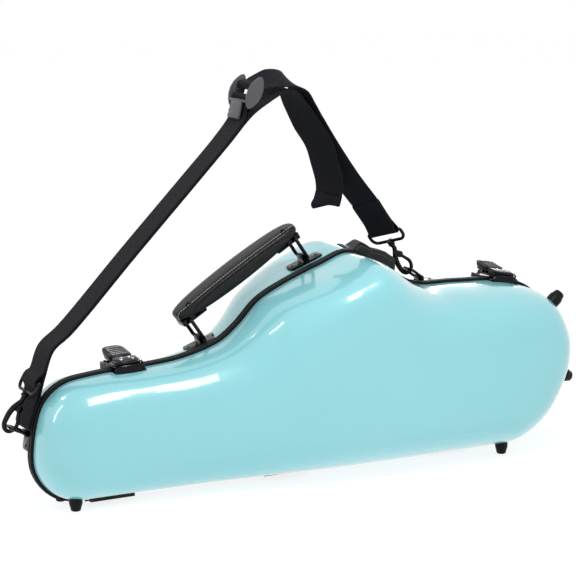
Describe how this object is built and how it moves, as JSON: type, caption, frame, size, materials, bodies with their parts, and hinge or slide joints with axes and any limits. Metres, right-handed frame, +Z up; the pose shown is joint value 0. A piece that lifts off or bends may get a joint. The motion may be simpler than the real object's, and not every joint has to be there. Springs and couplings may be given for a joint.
{
  "type": "saxophone case",
  "caption": "Shaped hard case for an alto saxophone: two glossy shells hinged along the spine, draw latches, hinged carrying handle and shoulder strap.",
  "frame": {"origin": "centre of the bounding box on the floor plane that the spine feet stand on", "axes": "+X along the case from the narrow neck end to the bow end, +Y from the lid to the back shell, +Z up from the spine to the carrying handle"},
  "size_m": [0.6942, 0.2032, 0.457],
  "materials": {
    "shell": "glossy light turquoise moulded shell with a clear coat",
    "trim": "satin black rubber edge trim and feet",
    "lining": "dark plush lining over foam",
    "hardware": "polished black nickel plated steel",
    "leather": "black grained leather, padded and stitched",
    "buckle": "grey moulded plastic",
    "webbing": "black woven webbing"
  },
  "bodies": {
    "case_back": {"back_shell": "shell", "back_rim": "trim", "foot_neck_back": "trim", "foot_bow_back": "trim", "foot_end_top_back": "trim", "foot_end_low_back": "trim", "back_liner": "lining", "accessory_divider": "lining", "neck_cradle": "lining", "hinge_leaf_back_1": "hardware", "hinge_pin_1": "hardware", "hinge_leaf_back_2": "hardware", "hinge_pin_2": "hardware", "hinge_leaf_back_3": "hardware", "hinge_pin_3": "hardware", "handle_plate_left": "hardware", "handle_plate_right": "hardware", "latch_base_left": "hardware", "lever_pin_left": "hardware", "latch_base_right": "hardware", "lever_pin_right": "hardware", "strap_bracket_left": "hardware", "hook_body_left": "hardware", "hook_eye_left": "hardware", "strap_bracket_right": "hardware", "hook_body_right": "hardware", "hook_eye_right": "hardware", "grab_pad": "leather", "strap_buckle": "buckle", "strap_webbing": "webbing", "strap_lead": "webbing"},
    "lid": {"front_shell": "shell", "front_rim": "trim", "foot_neck_front": "trim", "foot_bow_front": "trim", "foot_end_top_front": "trim", "foot_end_low_front": "trim", "front_liner": "lining", "hinge_leaf_front_1": "hardware", "hinge_leaf_front_2": "hardware", "hinge_leaf_front_3": "hardware", "latch_catch_left": "hardware", "latch_catch_right": "hardware"},
    "ring_left": {"handle_ring_left": "hardware"},
    "ring_right": {"handle_ring_right": "hardware"},
    "grip": {"grip_saddle_left": "hardware", "grip_saddle_right": "hardware", "handle_grip": "leather"},
    "lever_left": {"latch_lever_left": "hardware", "claw_pin_left": "hardware"},
    "lever_right": {"latch_lever_right": "hardware", "claw_pin_right": "hardware"},
    "claw_left": {"latch_claw_left": "hardware"},
    "claw_right": {"latch_claw_right": "hardware"},
    "dee_left": {"strap_ring_left": "hardware"},
    "dee_right": {"strap_ring_right": "hardware"},
    "gate_left": {"hook_gate_left": "hardware"},
    "gate_right": {"hook_gate_right": "hardware"}
  },
  "joints": [
    {"name": "lid_hinge", "type": "hinge", "parent": "case_back", "child": "lid", "pos_m": [0, -0.00014, 0.0044], "axis": [1, 0, 0], "range_deg": [0, 105]},
    {"name": "lever_left_pivot", "type": "hinge", "parent": "case_back", "child": "lever_left", "pos_m": [-0.20647, 0.00936, 0.15279], "axis": [0.9995, 0, 0.0327], "range_deg": [0, 95]},
    {"name": "lever_right_pivot", "type": "hinge", "parent": "case_back", "child": "lever_right", "pos_m": [0.27845, 0.00936, 0.20644], "axis": [0.9818, 0, -0.19], "range_deg": [0, 95]},
    {"name": "claw_left_pivot", "type": "hinge", "parent": "lever_left", "child": "claw_left", "pos_m": [-0.20636, 0.01936, 0.14939], "axis": [0.9995, 0, 0.0327], "range_deg": [-95, 0]},
    {"name": "claw_right_pivot", "type": "hinge", "parent": "lever_right", "child": "claw_right", "pos_m": [0.2778, 0.01936, 0.2031], "axis": [0.9818, 0, -0.19], "range_deg": [-95, 0]},
    {"name": "ring_left_swing", "type": "hinge", "parent": "case_back", "child": "ring_left", "pos_m": [-0.1061, 0.02086, 0.16426], "axis": [0, 1, 0], "range_deg": [-12, 45]},
    {"name": "ring_right_swing", "type": "hinge", "parent": "case_back", "child": "ring_right", "pos_m": [0.02459, 0.02086, 0.24416], "axis": [0, 1, 0], "range_deg": [-12, 45]},
    {"name": "grip_pivot", "type": "hinge", "parent": "ring_left", "child": "grip", "pos_m": [-0.12274, 0.02086, 0.18801], "axis": [0, 1, 0], "range_deg": [-45, 12]},
    {"name": "dee_left_swing", "type": "hinge", "parent": "case_back", "child": "dee_left", "pos_m": [-0.31735, 0.01386, 0.08362], "axis": [0, 1, 0], "range_deg": [-1, 4]},
    {"name": "dee_right_swing", "type": "hinge", "parent": "case_back", "child": "dee_right", "pos_m": [0.17797, 0.01786, 0.20714], "axis": [0, 1, 0], "range_deg": [-2, 4]},
    {"name": "gate_left_pivot", "type": "hinge", "parent": "case_back", "child": "gate_left", "pos_m": [-0.32421, 0.01386, 0.11052], "axis": [0, 1, 0], "range_deg": [0, 25], "stiffness_Nm_per_rad": 0.02, "springref_deg": -5.73},
    {"name": "gate_right_pivot", "type": "hinge", "parent": "case_back", "child": "gate_right", "pos_m": [0.15012, 0.01786, 0.23749], "axis": [0, 1, 0], "range_deg": [0, 25], "stiffness_Nm_per_rad": 0.02, "springref_deg": -5.73}
  ],
  "couplings": [
    {"joint": "claw_left_pivot", "follows": "lever_left_pivot", "ratio": -1},
    {"joint": "claw_right_pivot", "follows": "lever_right_pivot", "ratio": -1},
    {"joint": "ring_right_swing", "follows": "ring_left_swing", "ratio": 1},
    {"joint": "grip_pivot", "follows": "ring_left_swing", "ratio": -1}
  ]
}
